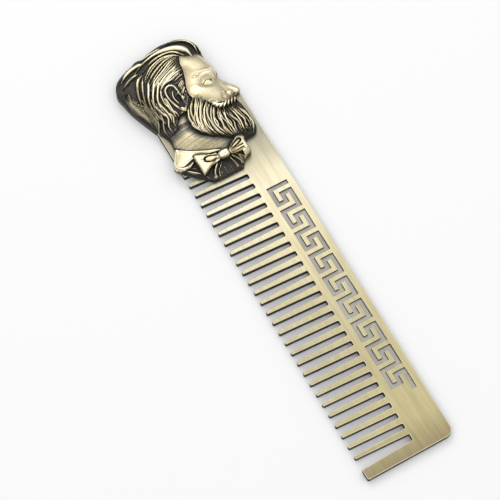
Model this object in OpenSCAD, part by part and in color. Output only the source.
// Beard comb: a flat brass blade with one row of teeth, and a cast relief bust
// that is riveted over the tang at the head end of the blade.
// X runs along the comb, with the bust at -X and the tail at +X. The spine of the
// blade is on the +Y side and the teeth point towards -Y. The show face is up.
// The origin is the middle of the underside of the whole comb.

/* [Comb] */
// Length of the comb over the bust and the tail
comb_len = 125.4; // [120:0.2:135]
// Width of the blade from its spine to the tips of the teeth
blade_w = 23.7; // [23:0.1:25]
// Thickness of the blade
blade_t = 1.8; // [1.5:0.1:2.2]
// Radius of the corner between the spine and the tail
spine_corner_r = 2; // [1:0.1:4]

/* [Teeth] */
// Number of gaps between teeth
gap_count = 29; // [20:1:29]
// Distance from one tooth to the next
tooth_pitch = 3; // [2.9:0.05:3.05]
// Width of a gap where it starts, at the root of the teeth
gap_root_w = 1.34; // [1:0.02:1.6]
// Width of a gap at the tips of the teeth
gap_tip_w = 2.15; // [1.7:0.05:2.3]
// Width of the solid bar between the spine and the gaps
spine_bar_w = 9.5; // [9:0.1:11]
// Width of the last tooth, at the tail, at its root
end_tooth_w = 3.3; // [2.5:0.1:4.5]
// Width of the last gap, beside that tooth, at its root
end_gap_w = 1.7; // [1.2:0.05:1.8]
// Radius of the inside corners of each gap
gap_corner_r = 0.3; // [0.1:0.05:0.45]

/* [Ornament] */
// Width of the recessed meander line, and of the rests between its strokes
key_unit = 1.14; // [0.9:0.02:1.2]
// Number of turns of the meander
key_count = 9; // [3:1:9]
// Depth of the recess
key_depth = 0.5; // [0.2:0.1:0.8]
// Distance from the spine edge to the middle of the meander
key_inset = 4.6; // [4:0.1:5]

/* [Bust] */
// Height of the bust from its lower edge to the crown of the hair
bust_h = 40.7; // [40:0.1:42]
// Thickness of the whole comb at the highest part of the relief
bust_t = 6; // [5.4:0.1:7]
// Clearance between the end of the tang and the shoulder in the casting
tang_gap = 0.05; // [0:0.01:0.2]

/* [Rivets] */
// Diameter of a rivet's shank
rivet_d = 2; // [1.6:0.1:2.4]
// Diameter of a rivet's countersunk head
rivet_head_d = 3.4; // [3:0.1:3.8]
// How far a rivet reaches into the casting above the blade
rivet_bite = 1.6; // [1:0.1:1.8]

/* [Hidden] */

// Small overrun that makes a cutter pass a face cleanly
over = 1;
// Sides of a round
round_fn = 48;
// Points on each stretch between two given points of an outline
curve_steps = 3;

tail_x = comb_len / 2;
crown_x = -comb_len / 2;
bust_foot_x = crown_x + bust_h;
// The nose stands this far past the spine, and the back hair this far behind it
nose_reach = 0.5;
hair_reach = 27.7;
spine_y = (hair_reach - nose_reach) / 2;
tip_y = spine_y - blade_w;
root_y = spine_y - spine_bar_w;

// The tang covers the neck and ends under the jaw
tang_len = 19.5;
tang_end_x = bust_foot_x - tang_len;

// The last gap leaves the end tooth standing, and each other gap is one pitch further on.
// A tooth's head side is square to the spine, and its tail side leans in towards its tip.
end_gap_x = tail_x - end_tooth_w - end_gap_w;
tooth_lean = gap_tip_w - gap_root_w;
// The end tooth leans in on its head side instead
end_tooth_lean = 0.5;
tip_corner_r = 0.4;

key_len = (6 * key_count + 1) * key_unit;
key_mid_x = 17.1;
key_start_x = key_mid_x - key_len / 2 + key_unit / 2;
// One turn of the meander, counted in units from its first corner
key_turn = [[0, 4], [0, 0], [4, 0], [4, 2], [2, 2], [2, 4]];

// Rivets: distance behind the spine, and height above the bust's lower edge
rivet_up = 12;
spine_rivet_at = [-7, rivet_up];
teeth_rivet_at = [-17.5, rivet_up];
countersink_h = (rivet_head_d - rivet_d) / 2;
rivet_clearance = 0.05;

// Relief heights above the underside of a comb 6 mm thick: at the rim, and what the
// body of the relief rises above that
edge_z = 3.2;
body_rise = 1.9;
// Rings of the relief's top from its rim to its middle, crowded towards the rim
ring_count = 9;
ring_crowding = 1.6;
bust_mid = [-13, 18];

// Outline of the bust, as [forward of the spine, up from the lower edge]
hair_line = [
    [-3.1, 35], [-4.2, 37.8], [-7, 39.9], [-11, bust_h], [-15, 40.2], [-19, 39.5],
    [-23, 38.2], [-26.2, 36.4], [-hair_reach, 33.6], [-27.3, 30.6], [-26.7, 27.4],
    [-25.3, 23.4], [-24, 20], [-22.4, 16.4]
];
neck_and_collar_line = [[-22.2, 14.2], [-22.7, 12], [-24.9, 8.2], [-24.2, 6.4], [-20.4, 2.6]];
lower_line = [[-17.9, 0.3], [-16.6, 0], [-10.6, 0], [-9.3, 0.3], [-8.2, 1.6], [-5.8, 2.9]];
beard_line = [[-5.4, 6.3], [-2.6, 6.8], [-1.2, 8.4], [-1, 11.5], [-1.3, 15.4]];
// The profile is a plain one: eyes at half the head's height, brow and nose at its thirds
face_line = [
    [-1.9, 18.1], [-1, 18.7], [nose_reach - 0.4, 19.2], [nose_reach, 19.9],
    [nose_reach - 0.4, 20.6], [-1.6, 22.6], [-3, 25], [-2.4, 26.9], [-2.7, 29], [-3.4, 32]
];
bust_line = concat(hair_line, neck_and_collar_line, lower_line, beard_line, face_line);

// Masses that stand out of the relief: [forward, up], [half width, half height], rise
masses = [
    [[-12, 30], [13, 11], 0.7],
    [[-17, 34], [12, 8], 0.3],
    [[-15.6, 24], [2.2, 4.6], 0.4],
    [[-7, 14], [6.5, 7.5], 0.5],
    [[-21.4, 8.4], [4, 4], 0.4],
    [[-8, 4.6], [3.4, 3.6], 0.6],
    [[-17, 5.2], [3.4, 3.2], 0.6],
    [[-12.4, 5.1], [2.2, 2], 0.8],
    [[-16, 15], [7, 5], -0.9],
    [[-13.5, 0.8], [6, 2.6], -1.3]
];

// A bust point placed in the comb's own frame
function placed(p) = [bust_foot_x - p[1], spine_y + p[0]];

// Point at t on a smooth curve from b to c, which heads for a and d beyond them
function curve_at(a, b, c, d, t) =
    (2 * b + (c - a) * t + (2 * a - 5 * b + 4 * c - d) * t * t
        + (3 * b - a - 3 * c + d) * t * t * t) / 2;

// Closed smooth outline through the given points
function smooth(p, n = curve_steps) = [
    for (i = [0:len(p) - 1], k = [0:n - 1])
        curve_at(p[(i + len(p) - 1) % len(p)], p[i], p[(i + 1) % len(p)],
            p[(i + 2) % len(p)], k / n)
];

// How far the masses lift or lower the relief at a bust point
function lift(p, i = 0) =
    i == len(masses) ? 0 :
    let (m = masses[i], d = [(p[0] - m[0][0]) / m[1][0], (p[1] - m[0][1]) / m[1][1]])
    m[2] * pow(max(0, 1 - d * d), 2) + lift(p, i + 1);

// Rounded relief over the bust's outline: upright sides up to the rim, then a modelled top
module relief() {
    rim = smooth(bust_line);
    n = len(rim);
    tops = [for (k = [0:ring_count - 1], p = rim)
        let (
            inward = pow(k / ring_count, ring_crowding),
            q = p + (bust_mid - p) * inward,
            height = sqrt(1 - pow(1 - k / ring_count, 2))
        )
        concat(placed(q), [edge_z + height * (body_rise + lift(q))])];
    points = concat(
        [for (p = rim) concat(placed(p), [0])],
        tops,
        [concat(placed(bust_mid), [edge_z + body_rise + lift(bust_mid)])]
    );
    sides = [for (r = [0:ring_count - 1], i = [0:n - 1])
        [r * n + i, (r + 1) * n + i, (r + 1) * n + (i + 1) % n, r * n + (i + 1) % n]];
    cap = [for (i = [0:n - 1])
        [ring_count * n + (i + 1) % n, ring_count * n + i, (ring_count + 1) * n]];
    resize([0, 0, bust_t])
        polyhedron(points, concat([[for (i = [0:n - 1]) i]], sides, cap), convexity = 6);
}

// One gap between teeth, from its root past the tips, with rounded inside corners.
// head_lean and tail_lean are how far its two sides lean out by the tips.
module gap(root_w, head_lean, tail_lean) {
    depth = root_y - tip_y;
    past = (depth + over) / depth;
    r = gap_corner_r;
    polygon([
        [0, -r], [r, 0], [root_w - r, 0], [root_w, -r],
        [root_w + tail_lean * past, -depth - over], [-head_lean * past, -depth - over]
    ]);
    for (x = [r, root_w - r]) translate([x, -r]) circle(r = r, $fn = round_fn);
}

// Outline of the blade, square at the tang and rounded at the tail
module blade_outline() {
    difference() {
        translate([tang_end_x, tip_y]) square([tail_x - tang_end_x, blade_w]);
        translate([tail_x - spine_corner_r, spine_y - spine_corner_r])
            square(spine_corner_r + over);
        translate([tail_x - tip_corner_r, tip_y - over]) square([2 * over, over + tip_corner_r]);
    }
    translate([tail_x - spine_corner_r, spine_y - spine_corner_r])
        circle(r = spine_corner_r, $fn = round_fn);
    translate([tail_x - tip_corner_r, tip_y + tip_corner_r])
        circle(r = tip_corner_r, $fn = round_fn);
}

// Centre line of the whole meander, in units
function key_path() = concat(
    [for (i = [0:key_count - 1], p = key_turn) [p[0] + 6 * i, p[1]]],
    [[6 * key_count, 4]]
);

// Square-cornered line of one unit's width along the meander
module key_outline() {
    path = key_path();
    for (i = [0:len(path) - 2]) {
        low = [min(path[i][0], path[i + 1][0]), min(path[i][1], path[i + 1][1])];
        high = [max(path[i][0], path[i + 1][0]), max(path[i][1], path[i + 1][1])];
        translate((low - [0.5, 0.5]) * key_unit) square((high - low + [1, 1]) * key_unit);
    }
}

module rivet_holes() {
    for (at = [spine_rivet_at, teeth_rivet_at]) translate(placed(at)) {
        translate([0, 0, -over])
            cylinder(d = rivet_d + 2 * rivet_clearance, h = blade_t + 2 * over, $fn = round_fn);
        translate([0, 0, -countersink_h])
            cylinder(d1 = rivet_head_d + 2 * countersink_h, d2 = rivet_d, h = 2 * countersink_h,
                $fn = round_fn);
    }
}

module comb_plate() {
    color([0.72, 0.62, 0.40]) difference() {
        linear_extrude(blade_t) difference() {
            blade_outline();
            translate([end_gap_x, root_y]) gap(end_gap_w, tooth_lean, end_tooth_lean);
            for (i = [1:gap_count - 1])
                translate([end_gap_x - i * tooth_pitch, root_y]) gap(gap_root_w, tooth_lean, 0);
        }
        translate([key_start_x, spine_y - key_inset - 2 * key_unit, blade_t - key_depth])
            linear_extrude(key_depth + over) key_outline();
        rivet_holes();
    }
}

// The head is full depth, and a step in the back of the neck and the collar takes the tang
module bust_casting() {
    color([0.60, 0.52, 0.34]) difference() {
        relief();
        translate([tang_end_x - tang_gap, -comb_len / 2, -over])
            cube([comb_len, comb_len, blade_t + over]);
        for (at = [spine_rivet_at, teeth_rivet_at])
            translate(placed(at)) cylinder(d = rivet_d, h = blade_t + rivet_bite, $fn = round_fn);
    }
}

// Rivet with a flush countersunk head underneath
module rivet(at) {
    color([0.55, 0.46, 0.28]) translate(placed(at)) {
        cylinder(d1 = rivet_head_d, d2 = rivet_d, h = countersink_h, $fn = round_fn);
        cylinder(d = rivet_d, h = blade_t + rivet_bite, $fn = round_fn);
    }
}

module rivet_spine_side() rivet(spine_rivet_at);
module rivet_teeth_side() rivet(teeth_rivet_at);

comb_plate();
bust_casting();
rivet_spine_side();
rivet_teeth_side();
